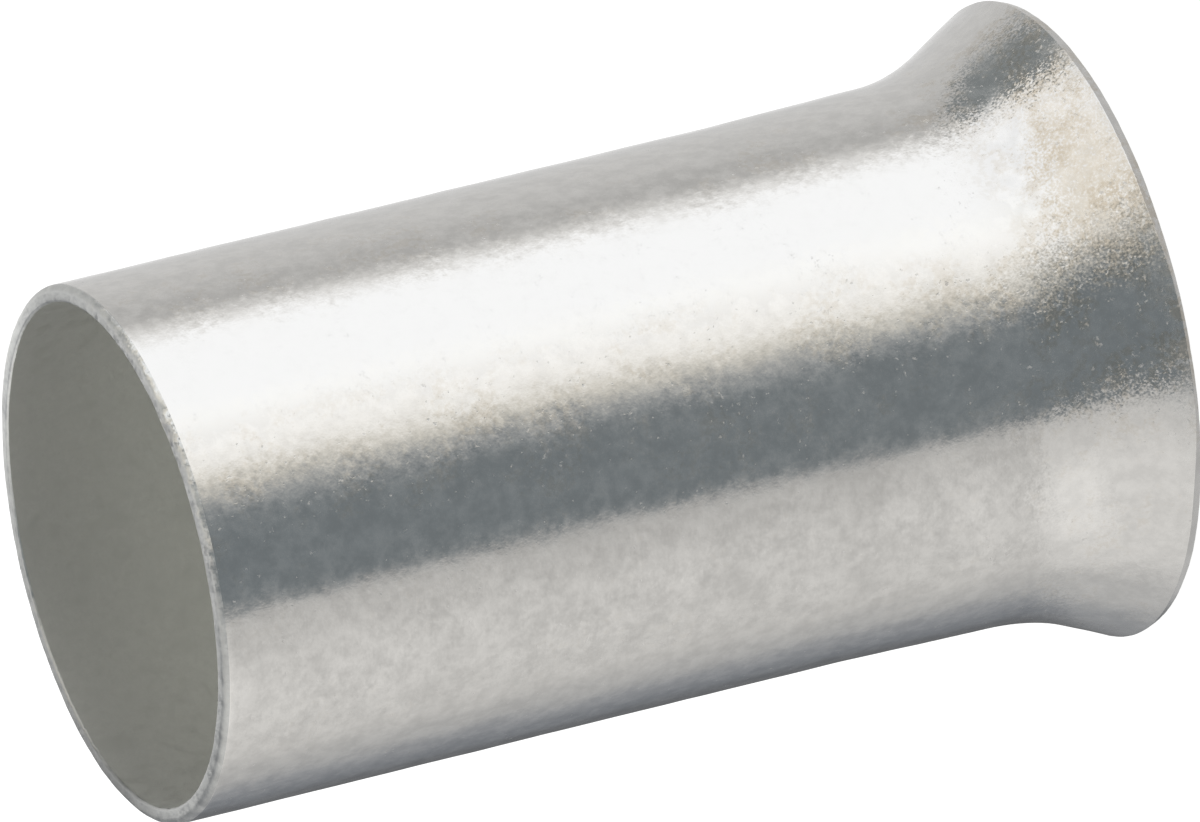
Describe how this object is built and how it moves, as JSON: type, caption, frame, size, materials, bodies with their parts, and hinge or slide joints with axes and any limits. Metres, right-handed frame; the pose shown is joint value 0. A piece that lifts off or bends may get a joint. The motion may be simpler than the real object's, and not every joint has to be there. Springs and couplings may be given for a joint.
{
  "type": "wire ferrule",
  "caption": "Bare wire ferrule: a thin-walled tinned copper tube, cut square at one end and flared into a bell mouth at the other.",
  "frame": {"origin": "centre of the flared mouth, on the plane that its rim stands on", "axes": "+Z along the tube's axis, from the flared mouth to the cut end; X and Y are any two directions across the tube"},
  "size_m": [0.0074, 0.0074, 0.012],
  "materials": {
    "tinned_copper": "satin"
  },
  "bodies": {
    "root": {"ferrule": "tinned_copper"}
  },
  "joints": []
}
